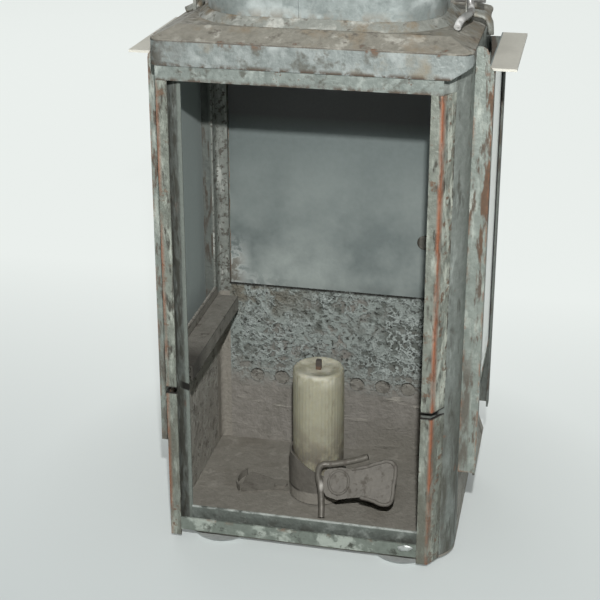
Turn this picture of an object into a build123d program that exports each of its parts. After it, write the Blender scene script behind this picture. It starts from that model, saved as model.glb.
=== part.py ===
from build123d import *
import math
import os

os.makedirs("parts", exist_ok=True)

# Driving sizes in millimetres, front towards minus Y, feet on the ground at Z zero
sheet = 0.8
body_w = 119.0
body_d = 82.0
eave_z = 215.0
box_top = 82.8
front_corner_r = 14.0
back_corner_r = 3.5
pan_t = 1.0
foot_h = 2.5
foot_r = 12.5
foot_tip_r = 8.0
foot_side_in = 21.0
foot_front_in = 8.5
foot_back_in = 10.0
flank_front = 5.0
flank_back = 4.0
flank_rear = 2.0
flank_foot = 4.0
lip_stand = 3.4
lip_w = 4.4
left_lip_margin = 1.5
right_lip_margin = 9.5
left_web_run = 1.0
right_web_run = 4.2
left_jamb_step = 4.0
right_jamb_step = 0.4
corner_gap = 0.05
break_drop = 13.8
break_gap = 2.3
sill_up = 2.8
sill_h = 8.5
sill_lip_h = 11.5
opening_drop = 15.8
window_drop = 19.0
skirt_drop = 10.0
skirt_mitre = 8.0
skirt_end_h = 4.0
skirt_wrap = 13.0
band_tuck = 4.0
roof_rise = 4.0
roof_inset = 9.0
roof_corner_r = 4.0
eave_lap = 0.6
slot_w = 5.4
channel_lip = 6.0
channel_foot = 4.0
channel_drop = 11.4
channel_tail = 33.0
ledge_under = 12.8
ledge_drop = 7.0
rail_w = 10.5
rail_down = 3.6
rail_h = 6.5
rail_corner_ease = 1.0
shutter_t = 1.0
shutter_side_play = 0.6
shutter_face_play = 0.4
tab_out = 10.2
tab_over = 1.0
rest_gap = 0.1
vent_d = 7.0
vent_pitch = 11.8
vent_z = 37.0
back_vents = 8
side_vents = 3
hood_above = 9.0
hood_below = 8.0
hood_out = 6.0
hood_side_in = 7.0
hood_back_in = 5.0
collar_side_in = 13.5
collar_front_in = 14.4
collar_r = 22.0
collar_h = 30.0
mouth_step = 2.0
smoke_holes = 3
smoke_pitch = 15.0
smoke_d = 5.0
smoke_z = 20.0
seam_x = -9.0
seam_w = 6.0
flange_w = 4.0
flange_rise = 3.0
flange_rim = 0.6
cap_rise = 18.0
cap_over = 4.0
cap_ridge = 9.0
cap_corner = 14.0
cap_t = 1.6
ear_stand = 7.5
ear_w = 11.0
ear_t = 1.2
pivot_up = 11.0
pin_play = 0.05
bail_wire = 3.0
wire_flats = 12
bail_reach = 72.0
bail_stand = 5.0
bail_bend = 22.0
bail_tail = 5.0
candle_d = 22.4
candle_top = 64.6
candle_bevel = 2.0
candle_flutes = 40
flute_deep = 0.4
bevel_slope = 45.0
wick_side = 2.2
wick_h = 3.3
wick_deep = 3.0
socket_play = 0.5
socket_wall = 0.9
socket_h = 21.0
socket_low = 9.0
socket_cut_in = 4.0
strip_half = 34.0
strip_neck = 9.0
strip_end = 19.0
leaf_lift = 5.0
leaf_start = 21.0
leaf_corner_r = 3.0
strap_wire = 4.0
strap_front_in = 11.0
strap_up = 12.0
strap_bend = 6.0
rivet_d = 6.0
rivet_h = 1.4
rivet_x = 17.0
clip_h = 3.0
clip_r = 12.0
clip_half = 9.0
clip_gap = 0.2
clip_deep = 3.0

# Sizes that follow from the ones above
half_w = body_w / 2
body_front = -body_d / 2
body_back = body_d / 2
pan_top = foot_h + pan_t
post_top = eave_z - sheet
foot_x = half_w - foot_side_in
foot_front = body_front + foot_front_in
foot_back = body_back - foot_back_in
web_front = body_front + front_corner_r
side_open_front = web_front + flank_front
side_open_back = body_back - back_corner_r - flank_back
web_back = side_open_back + flank_foot
back_web = half_w - back_corner_r
back_open_half = back_web - flank_rear
lip_face = body_front - lip_stand
lip_back = lip_face + sheet
lip_left_out = left_lip_margin - half_w
lip_right_out = half_w - right_lip_margin
lip_left_in = lip_left_out + lip_w
lip_right_in = lip_right_out - lip_w
jamb_left = lip_left_in + left_jamb_step
jamb_right = lip_right_in - right_jamb_step
front_mid = (lip_left_out + lip_right_out) / 2
break_z = box_top - break_drop
shelf_z = box_top - rail_down
sill_low = foot_h + sill_up
ledge_z = box_top - ledge_under
channel_low = ledge_z - channel_tail
channel_top = eave_z - channel_drop
opening_top = eave_z - opening_drop
window_head = eave_z - window_drop
skirt_low = eave_z - skirt_drop
hood_low = vent_z - hood_below
hood_high = vent_z + hood_above
hood_half = (side_open_back - side_open_front) / 2 - hood_side_in
back_hood_half = back_open_half - hood_back_in
shutter_off = sheet + slot_w - shutter_face_play - shutter_t
channel_depth = sheet + slot_w + sheet
tab_z = channel_top + tab_over
roof_half = half_w + eave_lap
roof_front = lip_face - sheet
roof_back = body_back + eave_lap
roof_mid = (roof_front + roof_back) / 2
roof_deep = (roof_back - roof_front) / 2
roof_top = eave_z + roof_rise
collar_a = half_w - collar_side_in
collar_b = roof_deep - collar_front_in
collar_top = roof_top + collar_h
ear_x = collar_a + ear_stand
bail_half = ear_x + bail_stand
pivot_z = eave_z + pivot_up
socket_bore = candle_d + 2 * socket_play
strip_top = pan_top + sheet
strap_reach = body_d / 2 - strap_front_in
frame_shift = -(roof_front + body_back + shutter_off + tab_out) / 2


def save(part, name, aside=0):
    # Set one piece so that the middle of the whole lantern is at Y zero, label it and write its own file
    placed = part.moved(Location((aside, frame_shift, 0)))
    placed.label = name
    export_step(placed, "parts/" + name + ".step")


def plan_rect(x0, y0, x1, y1):
    # A plain rectangle between two opposite corners
    with BuildSketch(mode=Mode.PRIVATE) as plan:
        with Locations(((x0 + x1) / 2, (y0 + y1) / 2)):
            Rectangle(x1 - x0, y1 - y0)
    return plan.sketch


def rounded_plan(x_half, y0, y1, front_r, back_r):
    # A rectangle with wide round corners in front and tighter ones at the back
    with BuildSketch(mode=Mode.PRIVATE) as plan:
        with Locations((0, (y0 + y1) / 2)):
            Rectangle(2 * x_half, y1 - y0)
        fillet(plan.vertices().sort_by(Axis.Y)[:2], radius=front_r)
        fillet(plan.vertices().sort_by(Axis.Y)[-2:], radius=back_r)
    return plan.sketch


def body_plan(grow):
    # Outline of the body sheet, grown or shrunk evenly
    front_r = front_corner_r + grow
    back_r = back_corner_r + grow
    return rounded_plan(half_w + grow, body_front - grow, body_back + grow, front_r, back_r)


def polygon(points):
    # A face drawn through listed points
    with BuildSketch(mode=Mode.PRIVATE) as plan:
        with BuildLine():
            Polyline(*points, close=True)
        make_face()
    return plan.sketch


def collar_plan(grow):
    # Outline of the collar, a rectangle with wide round corners, grown or shrunk evenly
    with BuildSketch(mode=Mode.PRIVATE) as plan:
        with Locations((0, roof_mid)):
            RectangleRounded(2 * (collar_a + grow), 2 * (collar_b + grow), collar_r + grow)
    return plan.sketch


def prism(face, z0, z1):
    # Straight block from a plan face between two heights
    with BuildPart() as block:
        with BuildSketch(Plane.XY.offset(z0)):
            add(face)
        extrude(amount=z1 - z0)
    return block.part


def along_x(points, x0, x1):
    # Bar with a drawn Y and Z section between two X stations
    with BuildPart() as bar:
        with BuildSketch(Plane.YZ.offset(x0)):
            add(polygon(points))
        extrude(amount=x1 - x0)
    return bar.part


def along_y(points, y0, y1):
    # Bar with a drawn X and Z section between two Y stations
    with BuildPart() as bar:
        with BuildSketch(Plane.XZ.offset(-y0)):
            add(polygon(points))
        extrude(amount=y0 - y1)
    return bar.part


# Base pan, the flat floor of the lantern
base_pan = prism(body_plan(0), foot_h, pan_top)
save(base_pan, "base_pan")

# Feet, four low pressed domes under the pan
foot_profile = [(0, 0), (foot_tip_r, 0), (foot_r, foot_h), (0, foot_h)]
with BuildPart() as foot:
    with BuildSketch(Plane.XZ):
        add(polygon(foot_profile))
    revolve(axis=Axis.Z)
with BuildPart() as feet:
    with Locations(*[(x, y, 0) for x in (-foot_x, foot_x) for y in (foot_front, foot_back)]):
        add(foot.part)
save(feet.part, "feet")

# Four corner posts, rounded sheet angles from pan to roof
post_windows = {
    "front_left_post": (-half_w, body_front, jamb_left, side_open_front),
    "front_right_post": (jamb_right, body_front, half_w, side_open_front),
    "back_left_post": (-half_w, side_open_back, -back_open_half, body_back),
    "back_right_post": (back_open_half, side_open_back, half_w, body_back),
}
for post_name, window in post_windows.items():
    with BuildPart() as post:
        with BuildSketch(Plane.XY.offset(pan_top)):
            add(body_plan(0))
            add(body_plan(-sheet), mode=Mode.SUBTRACT)
            add(plan_rect(*window), mode=Mode.INTERSECT)
        extrude(amount=post_top - pan_top)
    save(post.part, post_name)

# Lower box walls, flat sheets between the posts with a row of punched air holes
with BuildPart() as lower_back_wall:
    with BuildSketch(Plane.XY.offset(pan_top)):
        add(plan_rect(-back_open_half, body_back - sheet, back_open_half, body_back))
    extrude(amount=box_top - pan_top)
    with Locations(Plane.XZ.offset(-body_back + sheet / 2)):
        with GridLocations(vent_pitch, 1, back_vents, 1):
            with Locations((0, vent_z, 0)):
                Cylinder(vent_d / 2, 3 * sheet, mode=Mode.SUBTRACT)
save(lower_back_wall.part, "lower_back_wall")
side_mid = (side_open_front + side_open_back) / 2
vented_side = "right"
for side, side_name in ((-1, "left"), (1, "right")):
    with BuildPart() as side_wall:
        with BuildSketch(Plane.XY.offset(pan_top)):
            add(plan_rect(side * half_w, side_open_front, side * (half_w - sheet), side_open_back))
        extrude(amount=box_top - pan_top)
        if side_name == vented_side:
            with Locations(Plane.YZ.offset(side * (half_w - sheet / 2))):
                with Locations((side_mid, vent_z)):
                    with GridLocations(vent_pitch, 1, side_vents, 1):
                        Cylinder(vent_d / 2, 3 * sheet, mode=Mode.SUBTRACT)
    save(side_wall.part, "lower_" + side_name + "_wall")

# Folded rail inside each lower side wall: a leg on the wall, a shelf and a lip turned down
rail_plan = rounded_plan(
    half_w - sheet,
    body_front + sheet,
    side_open_back,
    front_corner_r + rail_corner_ease,
    rail_corner_ease,
)
for side, side_name in ((-1, "left"), (1, "right")):
    wall_in = side * (half_w - sheet)
    leg_in = wall_in - side * sheet
    rail_in = wall_in - side * rail_w
    lip_out = rail_in + side * sheet
    rail_section = [
        (wall_in, box_top),
        (leg_in, box_top),
        (leg_in, shelf_z),
        (rail_in, shelf_z),
        (rail_in, shelf_z - rail_h),
        (lip_out, shelf_z - rail_h),
        (lip_out, shelf_z - sheet),
        (wall_in, shelf_z - sheet),
    ]
    with BuildPart() as inner_rail:
        add(along_y(rail_section, body_front, side_open_back))
        add(prism(rail_plan, shelf_z - rail_h, box_top), mode=Mode.INTERSECT)
    save(inner_rail.part, side_name + "_inner_rail")

# Vent hoods, slanted sheets that shield the air holes outside
right_hood_section = [
    (half_w, hood_high),
    (half_w + hood_out, hood_low),
    (half_w + hood_out - sheet, hood_low),
    (half_w, hood_high - 2 * sheet),
]
save(along_y(right_hood_section, side_mid - hood_half, side_mid + hood_half), "right_vent_hood")
back_hood_section = [
    (body_back, hood_high),
    (body_back + hood_out, hood_low),
    (body_back + hood_out - sheet, hood_low),
    (body_back, hood_high - 2 * sheet),
]
save(along_x(back_hood_section, -back_hood_half, back_hood_half), "back_vent_hood")

# Front sill, an outer rail in front of a taller inner lip, with the pane groove between
sill_section = [
    (lip_face, sill_low),
    (body_front, sill_low),
    (body_front, sill_low + sheet),
    (lip_back, sill_low + sheet),
    (lip_back, foot_h + sill_h),
    (lip_face, foot_h + sill_h),
]
save(along_x(sill_section, lip_left_in, lip_right_in), "front_sill")
lip_plan = plan_rect(jamb_left, body_front, jamb_right, body_front + sheet)
save(prism(lip_plan, pan_top, pan_top + sill_lip_h), "sill_lip")

# Front channels, a narrow front lip and a slanted web that dies on the round corner
corner_x = half_w - front_corner_r
corner_y = body_front + front_corner_r


def front_channel_points(side, inner, outer, run):
    # Section of one front channel: lip in front, web slanting back to the corner sheet
    foot_px = outer + side * run
    foot_py = corner_y - math.sqrt(front_corner_r ** 2 - (abs(foot_px) - corner_x) ** 2)
    slant = math.hypot(run, foot_py - lip_face)
    step_x = -side * (foot_py - lip_face) / slant * sheet
    step_y = run / slant * sheet
    return [
        (inner, lip_face),
        (outer, lip_face),
        (foot_px, foot_py),
        (foot_px + step_x, foot_py + step_y),
        (outer + step_x, lip_back),
        (inner, lip_back),
    ]


channel_spans = {"upper": (break_z + break_gap, opening_top), "lower": (foot_h, break_z)}
channel_sides = {
    "left": (-1, lip_left_in, lip_left_out, left_web_run),
    "right": (1, lip_right_in, lip_right_out, right_web_run),
}
for side_name, section in channel_sides.items():
    for level, span in channel_spans.items():
        with BuildPart() as front_channel:
            with BuildSketch(Plane.XY.offset(span[0])):
                add(polygon(front_channel_points(*section)))
                with Locations((section[0] * corner_x, corner_y)):
                    Circle(front_corner_r + corner_gap, mode=Mode.SUBTRACT)
            extrude(amount=span[1] - span[0])
        save(front_channel.part, level + "_" + side_name + "_front_channel")

# Window heads, sheet strips between the posts over the side and back windows
back_head_plan = plan_rect(-back_open_half, body_back - sheet, back_open_half, body_back)
save(prism(back_head_plan, window_head, post_top), "back_window_head")
for side, side_name in ((-1, "left"), (1, "right")):
    head_plan = plan_rect(side * half_w, side_open_front, side * (half_w - sheet), side_open_back)
    save(prism(head_plan, window_head, post_top), side_name + "_window_head")

# Head band, the flat strip over the front opening, tucked up behind the skirt
with BuildPart() as head_band:
    add(prism(plan_rect(lip_left_out, lip_face, lip_right_out, lip_back), opening_top, skirt_low))
    add(prism(plan_rect(jamb_left, lip_face, jamb_right, lip_back), skirt_low, skirt_low + band_tuck))
save(head_band.part, "head_band")

# Roof plate, a shallow hipped sheet with a mouth for the collar
def roof_plan(grow):
    # Outline of the eave, grown or shrunk evenly
    with BuildSketch(mode=Mode.PRIVATE) as plan:
        with Locations((0, roof_mid)):
            RectangleRounded(2 * (roof_half + grow), 2 * (roof_deep + grow), roof_corner_r + grow)
    return plan.sketch


def roof_block(z0):
    # Hipped solid with rounded upright corners, standing on one height
    with BuildPart() as block:
        with BuildSketch(Plane.XY.offset(z0)):
            add(plan_rect(-roof_half, roof_front, roof_half, roof_back))
        with BuildSketch(Plane.XY.offset(z0 + roof_rise)):
            add(plan_rect(roof_inset - roof_half, roof_front + roof_inset, roof_half - roof_inset,
                          roof_back - roof_inset))
        loft(ruled=True)
        with BuildSketch(Plane.XY.offset(z0)):
            add(roof_plan(0))
        extrude(amount=roof_rise, mode=Mode.INTERSECT)
    return block.part


roof_solid = roof_block(eave_z)
roof_hollow = roof_block(post_top)
with BuildPart() as roof_plate:
    add(prism(roof_plan(0), post_top, eave_z))
    add(roof_solid)
    add(roof_hollow, mode=Mode.SUBTRACT)
    with BuildSketch(Plane.XY.offset(eave_z)):
        add(collar_plan(-sheet - mouth_step))
    extrude(amount=2 * roof_rise, mode=Mode.SUBTRACT)
save(roof_plate.part, "roof_plate")

# Front skirt of the roof, wrapped round both corners, its right end cut to a mitre
with BuildPart() as front_skirt:
    with BuildSketch(Plane.XY.offset(skirt_low)):
        add(roof_plan(0))
        add(roof_plan(-sheet), mode=Mode.SUBTRACT)
        add(plan_rect(-roof_half, roof_front, roof_half, roof_front + skirt_wrap), mode=Mode.INTERSECT)
    extrude(amount=post_top - skirt_low)
    mitre = [
        (roof_half - skirt_mitre, skirt_low),
        (roof_half, skirt_low),
        (roof_half, post_top - skirt_end_h),
    ]
    with BuildSketch(Plane.XZ.offset(-roof_front)):
        add(polygon(mitre))
    extrude(amount=-skirt_wrap, mode=Mode.SUBTRACT)
save(front_skirt.part, "front_skirt")

# Collar with wide round corners, its flared foot flange, a lap seam and a few smoke holes
with BuildPart() as collar_flange:
    with BuildSketch(Plane.XY.offset(roof_top)):
        add(collar_plan(flange_w))
    extrude(amount=flange_rise, taper=math.degrees(math.atan2(flange_w - flange_rim, flange_rise)))
    with BuildSketch(Plane.XY.offset(roof_top)):
        add(collar_plan(0))
    extrude(amount=flange_rise, mode=Mode.SUBTRACT)
save(collar_flange.part, "collar_flange")
seam_low = roof_top + flange_rise
with BuildPart() as collar:
    add(prism(collar_plan(0), roof_top, collar_top))
    with BuildSketch(Plane.XY.offset(seam_low)):
        add(collar_plan(sheet))
        add(plan_rect(seam_x - seam_w / 2, roof_mid - collar_b - sheet, seam_x + seam_w / 2, roof_mid),
            mode=Mode.INTERSECT)
    extrude(amount=collar_top - seam_low)
    add(prism(collar_plan(-sheet), roof_top, collar_top), mode=Mode.SUBTRACT)
    with Locations((0, roof_mid, roof_top + smoke_z)):
        with GridLocations(smoke_pitch, 1, smoke_holes, 1):
            Cylinder(smoke_d / 2, 3 * collar_b, rotation=(90, 0, 0), mode=Mode.SUBTRACT)
save(collar.part, "collar")

# Cap, a low lid folded from flat sheet with cut corners and a turned-in rim that rests on the collar
def cap_block(z0):
    # Solid that narrows evenly from a rectangle with cut corners
    x_half = collar_a + cap_over
    y_half = collar_b + cap_over
    with BuildPart() as block:
        with BuildSketch(Plane.XY.offset(z0)) as plan:
            add(plan_rect(-x_half, roof_mid - y_half, x_half, roof_mid + y_half))
            chamfer(plan.vertices(), length=cap_corner)
        extrude(amount=cap_rise, taper=math.degrees(math.atan2(y_half - cap_ridge, cap_rise)))
    return block.part


rim_top = collar_top + sheet
with BuildPart() as cap_hollow:
    add(cap_block(collar_top - cap_t))
    with BuildSketch(Plane.XY.offset(rim_top)):
        add(roof_plan(0))
    extrude(amount=cap_rise, mode=Mode.INTERSECT)
with BuildPart() as cap:
    add(cap_block(collar_top))
    add(cap_hollow.part, mode=Mode.SUBTRACT)
    add(prism(collar_plan(-sheet), collar_top, rim_top), mode=Mode.SUBTRACT)
save(cap.part, "cap")

# Bail ears, upright lugs on the roof slope with a hole for the wire
for side, side_name in ((-1, "left"), (1, "right")):
    with BuildPart() as ear:
        with BuildSketch(Plane.YZ.offset(side * ear_x - ear_t / 2)):
            with Locations((0, pivot_z)):
                Circle(ear_w / 2)
            add(plan_rect(-ear_w / 2, eave_z, ear_w / 2, pivot_z))
            with Locations((0, pivot_z)):
                Circle(bail_wire / 2 + pin_play, mode=Mode.SUBTRACT)
        extrude(amount=ear_t)
        add(roof_solid, mode=Mode.SUBTRACT)
    save(ear.part, side_name + "_bail_ear")

# Wire bail, bent in through both ears, its round section drawn with a few flats
with BuildPart() as bail:
    with BuildLine(Plane.XZ) as bail_line:
        Polyline(
            (-ear_x + bail_tail, pivot_z),
            (-bail_half, pivot_z),
            (-bail_half, pivot_z + bail_reach),
            (bail_half, pivot_z + bail_reach),
            (bail_half, pivot_z),
            (ear_x - bail_tail, pivot_z),
        )
        fillet(bail_line.vertices().sort_by(Axis.Z)[-2:], radius=bail_bend)
    with BuildSketch(Plane.YZ.offset(bail_tail - ear_x)):
        with Locations((0, pivot_z)):
            RegularPolygon(bail_wire / 2, round(wire_flats))
    sweep(transition=Transition.RIGHT)
save(bail.part, "bail")

# Shutter channels, sheet gutters on the posts that hold the sliding shutters
def gutter_points(wall, edge, inward, foot):
    # Section of one gutter: foot on the wall, web at the edge, lip over the shutter
    return [
        (wall, edge),
        (wall + channel_depth, edge),
        (wall + channel_depth, edge + inward * channel_lip),
        (wall + channel_depth - sheet, edge + inward * channel_lip),
        (wall + channel_depth - sheet, edge + inward * sheet),
        (wall + sheet, edge + inward * sheet),
        (wall + sheet, edge + inward * foot),
        (wall, edge + inward * foot),
    ]


for side, side_name in ((-1, "left"), (1, "right")):
    for end_name, edge, inward in (("front", web_front, 1), ("back", web_back, -1)):
        points = [(side * x, y) for x, y in gutter_points(half_w, edge, inward, channel_foot)]
        gutter = prism(polygon(points), channel_low, channel_top)
        save(gutter, side_name + "_shutter_" + end_name + "_channel")
    points = [(side * x, y) for y, x in gutter_points(body_back, back_web, -1, flank_rear)]
    save(prism(polygon(points), channel_low, channel_top), "back_shutter_" + side_name + "_channel")

# Ledges, small angles that stop each shutter at the bottom of its channels
ledge_reach = channel_depth - sheet - rest_gap
ledge_section = [
    (0, ledge_z),
    (ledge_reach, ledge_z),
    (ledge_reach, ledge_z - sheet),
    (sheet, ledge_z - sheet),
    (sheet, ledge_z - ledge_drop),
    (0, ledge_z - ledge_drop),
]
for side, side_name in ((-1, "left"), (1, "right")):
    points = [(side * (half_w + x), z) for x, z in ledge_section]
    save(along_y(points, web_front + channel_foot, web_back - channel_foot), side_name + "_shutter_ledge")
back_points = [(body_back + y, z) for y, z in ledge_section]
save(along_x(back_points, -back_web + channel_foot, back_web - channel_foot), "back_shutter_ledge")

# Shutters, bright sheets with a pull tab bent out at the top
shutter_low = ledge_z + rest_gap
shutter_section = [
    (shutter_off, shutter_low),
    (shutter_off + shutter_t, shutter_low),
    (shutter_off + shutter_t, tab_z),
    (shutter_off + tab_out, tab_z),
    (shutter_off + tab_out, tab_z + shutter_t),
    (shutter_off, tab_z + shutter_t),
]
shutter_front = web_front + sheet + shutter_side_play
shutter_back = web_back - sheet - shutter_side_play
shutter_back_half = back_web - sheet - shutter_side_play
for side, side_name in ((-1, "left"), (1, "right")):
    points = [(side * (half_w + x), z) for x, z in shutter_section]
    save(along_y(points, shutter_front, shutter_back), side_name + "_shutter")
back_points = [(body_back + y, z) for y, z in shutter_section]
save(along_x(back_points, -shutter_back_half, shutter_back_half), "back_shutter")

# Candle holder, a cross strip with a lifted thumb leaf, a bent rod in front and a socket cut on a slant
leaf_plan = [
    (-strip_half, -strip_end / 2),
    (-leaf_start, -strip_neck / 2),
    (leaf_start, -strip_neck / 2),
    (strip_half, -strip_end / 2),
    (strip_half, strip_end / 2),
    (leaf_start, strip_neck / 2),
    (-leaf_start, strip_neck / 2),
    (-strip_half, strip_end / 2),
]
strip_side = [
    (-strip_half, pan_top),
    (leaf_start, pan_top),
    (strip_half, pan_top + leaf_lift),
    (strip_half, strip_top + leaf_lift),
    (leaf_start, strip_top),
    (-strip_half, strip_top),
]
with BuildPart() as holder_strip:
    with BuildSketch(Plane.XY.offset(pan_top)) as leaf_sketch:
        add(polygon(leaf_plan))
        leaf_corners = [v for v in leaf_sketch.vertices() if abs(v.X) > leaf_start + leaf_corner_r]
        fillet(leaf_corners, radius=leaf_corner_r)
    extrude(amount=3 * leaf_lift)
    add(along_y(strip_side, -strip_end, strip_end), mode=Mode.INTERSECT)
save(holder_strip.part, "holder_strip", front_mid)
socket_out = socket_bore / 2 + socket_wall
strap_y = -socket_out - rest_gap - strap_wire / 2
strap_z = pan_top + strap_wire / 2
with BuildPart() as front_strap:
    with BuildLine(Plane.YZ) as strap_line:
        Polyline((strap_y, strip_top + strap_up), (strap_y, strap_z), (-strap_reach, strap_z))
        fillet(strap_line.vertices().sort_by(Axis.Y).sort_by(Axis.Z)[1:2], radius=strap_bend)
    with BuildSketch(Plane.XY.offset(strip_top + strap_up)):
        with Locations((0, strap_y)):
            RegularPolygon(strap_wire / 2, round(wire_flats))
    sweep()
save(front_strap.part, "front_strap", front_mid)
with BuildPart() as socket_tube:
    with BuildSketch(Plane.XY.offset(strip_top)):
        Circle(socket_out)
    extrude(amount=socket_h)
    with BuildSketch(Plane.XY.offset(strip_top + sheet)):
        Circle(socket_bore / 2)
    extrude(amount=socket_h, mode=Mode.SUBTRACT)
    rim_cut = [
        (socket_cut_in - socket_out, strip_top + socket_h),
        (socket_out, strip_top + socket_low),
        (socket_out, strip_top + socket_h),
    ]
    add(along_y(rim_cut, -socket_out, socket_out), mode=Mode.SUBTRACT)
save(socket_tube.part, "socket_tube", front_mid)

# Rivets that hold the cross strip to the floor
with BuildPart() as holder_rivets:
    with Locations((-rivet_x, 0, strip_top), (rivet_x, 0, strip_top)):
        Cylinder(rivet_d / 2, rivet_h, align=(Align.CENTER, Align.CENTER, Align.MIN))
save(holder_rivets.part, "holder_rivets", front_mid)

# Floor clip, a small curved fence at the left end of the strip
with BuildPart() as floor_clip:
    with BuildSketch(Plane.XY.offset(pan_top)):
        with Locations((-strip_half + clip_r - clip_deep, 0)):
            Circle(clip_r)
            Circle(clip_r - sheet, mode=Mode.SUBTRACT)
        clip_window = plan_rect(-strip_half - clip_r, -clip_half, -strip_half - clip_gap, clip_half)
        add(clip_window, mode=Mode.INTERSECT)
    extrude(amount=clip_h)
save(floor_clip.part, "floor_clip", front_mid)

# Candle, a fluted column with a bevelled top, and its square wick
candle_low = strip_top + sheet + rest_gap
flute_top = candle_top - candle_bevel
flute_step = math.pi / candle_flutes
flute_ring = []
for i in range(2 * candle_flutes):
    reach = candle_d / 2 - flute_deep * (i % 2)
    flute_ring.append((reach * math.cos(i * flute_step), reach * math.sin(i * flute_step)))
with BuildPart() as candle:
    with BuildSketch(Plane.XY.offset(candle_low)):
        add(polygon(flute_ring))
    extrude(amount=flute_top - candle_low)
    with BuildSketch(Plane.XY.offset(flute_top)):
        RegularPolygon(candle_d / 2 - flute_deep, candle_flutes)
    extrude(amount=candle_bevel, taper=bevel_slope)
    with BuildSketch(Plane.XY.offset(candle_top - wick_deep)):
        Rectangle(wick_side, wick_side)
    extrude(amount=wick_deep, mode=Mode.SUBTRACT)
save(candle.part, "candle", front_mid)
with BuildPart() as wick:
    with BuildSketch(Plane.XY.offset(candle_top - wick_deep)):
        Rectangle(wick_side, wick_side)
    extrude(amount=wick_deep + wick_h)
save(wick.part, "wick", front_mid)
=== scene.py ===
import bpy
import bmesh
import math
from mathutils import Matrix, Vector


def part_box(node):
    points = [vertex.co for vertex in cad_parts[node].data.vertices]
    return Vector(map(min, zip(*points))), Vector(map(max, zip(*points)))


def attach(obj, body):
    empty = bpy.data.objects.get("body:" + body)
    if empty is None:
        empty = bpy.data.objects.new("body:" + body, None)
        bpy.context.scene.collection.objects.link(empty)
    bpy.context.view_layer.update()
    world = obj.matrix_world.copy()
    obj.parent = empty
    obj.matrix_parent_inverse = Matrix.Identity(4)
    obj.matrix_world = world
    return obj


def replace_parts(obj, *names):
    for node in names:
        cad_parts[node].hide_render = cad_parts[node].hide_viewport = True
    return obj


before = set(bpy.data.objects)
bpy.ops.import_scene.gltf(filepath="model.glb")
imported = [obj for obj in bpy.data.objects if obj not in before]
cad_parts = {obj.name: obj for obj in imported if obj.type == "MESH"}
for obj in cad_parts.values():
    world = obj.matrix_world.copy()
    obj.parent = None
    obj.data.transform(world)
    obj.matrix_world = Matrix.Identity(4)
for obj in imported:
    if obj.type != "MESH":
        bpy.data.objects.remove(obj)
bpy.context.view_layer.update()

# Base pan: the flat floor of the lantern, one piece of sheet iron soldered inside the walls.
# Heat, wax and damp have turned it dull brown and left a gritty film.
def linear(code):
    part = [int(code[i:i + 2], 16) / 255 for i in (1, 3, 5)]
    return [c / 12.92 if c <= 0.04045 else ((c + 0.055) / 1.055) ** 2.4 for c in part] + [1.0]


def put(tree, kind, sockets=None, **settings):
    # Adds one node with its settings, and links or sets its sockets
    node = tree.nodes.new(kind)
    for key, value in settings.items():
        setattr(node, key, value)
    for key, value in (sockets or {}).items():
        if isinstance(value, bpy.types.NodeSocket):
            tree.links.new(value, node.inputs[key])
        else:
            node.inputs[key].default_value = value
    return node


def mask(tree, place, kind, *size):
    # Where a stain lies, from 0 to 1; sizes are in millimetres, and noise has a low and a high threshold
    if kind in ("spots", "runs", "creases", "worms"):
        squash = {"runs": (1.0, 1.0, 0.25), "creases": (0.15, 0.15, 1.0)}.get(kind, (1.0, 1.0, 1.0))
        spread = put(tree, "ShaderNodeMapping", {"Vector": place, "Scale": squash}).outputs[0]
        source = put(tree, "ShaderNodeTexNoise", {
            "Vector": spread, "Scale": 1000 / size[0], "Detail": 5.0, "Roughness": 0.6}).outputs[0]
        low, high = size[1:]
        if kind == "worms":
            ridge = put(tree, "ShaderNodeMath", {0: source, 1: 0.5}, operation="SUBTRACT").outputs[0]
            source = put(tree, "ShaderNodeMath", {0: ridge}, operation="ABSOLUTE").outputs[0]
    elif kind == "edge":
        rounded = put(tree, "ShaderNodeBevel", {"Radius": size[0] / 1000}, samples=4)
        face = put(tree, "ShaderNodeNewGeometry")
        source = put(tree, "ShaderNodeVectorMath", {
            0: rounded.outputs[0], 1: face.outputs["Normal"]}, operation="DOT_PRODUCT").outputs["Value"]
        low, high = 0.995, 0.85
    else:
        source = put(tree, "ShaderNodeSeparateXYZ", {"Vector": place}).outputs["xyz".index(kind[-1])]
        low, high = size[0] / 1000, size[1] / 1000
        if kind.startswith("near"):
            far = put(tree, "ShaderNodeMath", {0: source, 1: size[0] / 1000}, operation="SUBTRACT")
            source = put(tree, "ShaderNodeMath", {0: far.outputs[0]}, operation="ABSOLUTE").outputs[0]
            low, high = size[1] / 1000, 0.0
    return put(tree, "ShaderNodeMapRange", {"Value": source, "From Min": low, "From Max": high}).outputs[0]


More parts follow.
